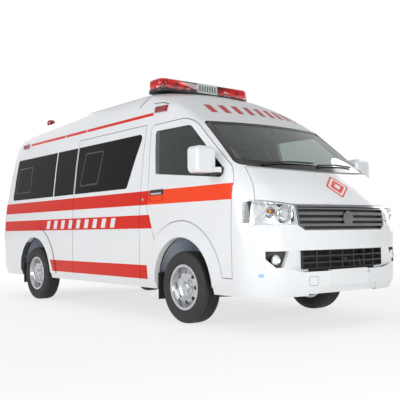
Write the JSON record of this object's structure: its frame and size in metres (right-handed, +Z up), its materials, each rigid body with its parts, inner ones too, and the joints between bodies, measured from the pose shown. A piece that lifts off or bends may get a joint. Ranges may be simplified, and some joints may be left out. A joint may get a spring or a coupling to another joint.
{
  "type": "high-roof ambulance van",
  "caption": "White high-roof ambulance van with roof light bar, opening front doors, bonnet and tailgate, steered front wheels and free-rolling wheels",
  "frame": {"origin": "On the ground under the middle of the van, at the bottom centre of its bounding box", "axes": "+X is forward along the van's length, +Y is the van's left side and +Z is up"},
  "size_m": [5.382, 2.295, 2.439],
  "materials": {
    "body_white": "gloss",
    "glass_clear": "gloss",
    "glass_dark": "gloss",
    "chrome_trim": "polished",
    "black_plastic": "matte",
    "grey_plastic": "matte",
    "lamp_clear": "gloss",
    "lamp_red": "gloss",
    "tyre_rubber": "matte",
    "rim_silver": "satin",
    "steel_black": "matte",
    "cast_metal": "matte",
    "seat_fabric": "matte",
    "flap_rubber": "matte",
    "galvanised": "satin"
  },
  "bodies": {
    "root": {"beacons": "lamp_red", "body_side_left": "body_white", "body_side_right": "body_white", "chassis_frame": "steel_black", "dashboard": "grey_plastic", "engine": "cast_metal", "exhaust": "galvanised", "floor": "grey_plastic", "fog_lamps": "black_plastic", "front_bumper": "body_white", "front_suspension": "steel_black", "fuel_tank": "steel_black", "grille": "chrome_trim", "grille_mesh": "black_plastic", "headlamp_bowls": "chrome_trim", "headlamp_lenses": "lamp_clear", "intake_grille": "black_plastic", "leaf_springs": "steel_black", "light_bar": "body_white", "light_bar_lenses": "lamp_red", "marker_lamps": "lamp_red", "mud_flaps": "flap_rubber", "nose_panel": "body_white", "partition": "grey_plastic", "propshaft": "steel_black", "rear_axle": "steel_black", "rear_bumper": "body_white", "roof_cap": "body_white", "seats": "seat_fabric", "side_glass": "glass_dark", "sliding_door": "body_white", "sliding_door_glass": "glass_dark", "spare_wheel": "tyre_rubber", "steering_column": "grey_plastic", "tail_lamps": "lamp_red", "tow_eye": "steel_black", "wheel_houses": "galvanised", "windscreen": "glass_clear", "wipers": "black_plastic"},
    "door_left": {"door_left": "body_white", "door_glass_left": "glass_clear", "mirror_left": "body_white"},
    "door_right": {"door_right": "body_white", "door_glass_right": "glass_clear", "mirror_right": "body_white"},
    "bonnet": {"bonnet": "body_white"},
    "tailgate": {"tailgate": "body_white", "tailgate_glass": "glass_dark"},
    "steering_wheel": {"steering_wheel": "grey_plastic"},
    "knuckle_left": {"knuckle_left": "cast_metal"},
    "knuckle_right": {"knuckle_right": "cast_metal"},
    "wheel_front_left": {"rim_front_left": "rim_silver", "tyre_front_left": "tyre_rubber"},
    "wheel_front_right": {"rim_front_right": "rim_silver", "tyre_front_right": "tyre_rubber"},
    "wheel_rear_left": {"rim_rear_left": "rim_silver", "tyre_rear_left": "tyre_rubber"},
    "wheel_rear_right": {"rim_rear_right": "rim_silver", "tyre_rear_right": "tyre_rubber"}
  },
  "joints": [
    {"name": "door_left_swing", "type": "hinge", "parent": "root", "child": "door_left", "pos_m": [2.231, 0.9415, 0.9], "axis": [0, 0, -1], "range_deg": [0, 70]},
    {"name": "door_right_swing", "type": "hinge", "parent": "root", "child": "door_right", "pos_m": [2.231, -0.9415, 0.9], "axis": [0, 0, 1], "range_deg": [0, 70]},
    {"name": "bonnet_lift", "type": "hinge", "parent": "root", "child": "bonnet", "pos_m": [2.246, 0, 1.376], "axis": [0, -1, 0], "range_deg": [0, 50]},
    {"name": "tailgate_lift", "type": "hinge", "parent": "root", "child": "tailgate", "pos_m": [-2.5165, 0, 1.988], "axis": [0, 1, 0], "range_deg": [0, 85]},
    {"name": "steer_left", "type": "hinge", "parent": "root", "child": "knuckle_left", "pos_m": [1.53, 0.735, 0.327], "axis": [0, 0, 1], "range_deg": [-33, 33]},
    {"name": "steer_right", "type": "hinge", "parent": "root", "child": "knuckle_right", "pos_m": [1.53, -0.735, 0.327], "axis": [0, 0, 1], "range_deg": [-33, 33]},
    {"name": "steering_wheel_turn", "type": "hinge", "parent": "root", "child": "steering_wheel", "pos_m": [1.88, 0.42, 1.19], "axis": [-0.6157, 0, 0.788], "range_deg": [-500, 500]},
    {"name": "wheel_front_left_spin", "type": "hinge", "parent": "knuckle_left", "child": "wheel_front_left", "pos_m": [1.53, 0.8275, 0.327], "axis": [0, 1, 0], "continuous": true},
    {"name": "wheel_front_right_spin", "type": "hinge", "parent": "knuckle_right", "child": "wheel_front_right", "pos_m": [1.53, -0.8275, 0.327], "axis": [0, 1, 0], "continuous": true},
    {"name": "wheel_rear_left_spin", "type": "hinge", "parent": "root", "child": "wheel_rear_left", "pos_m": [-1.58, 0.8275, 0.327], "axis": [0, 1, 0], "continuous": true},
    {"name": "wheel_rear_right_spin", "type": "hinge", "parent": "root", "child": "wheel_rear_right", "pos_m": [-1.58, -0.8275, 0.327], "axis": [0, 1, 0], "continuous": true}
  ],
  "couplings": [
    {"joint": "steer_right", "follows": "steer_left", "ratio": 1},
    {"joint": "steering_wheel_turn", "follows": "steer_left", "ratio": 15}
  ]
}
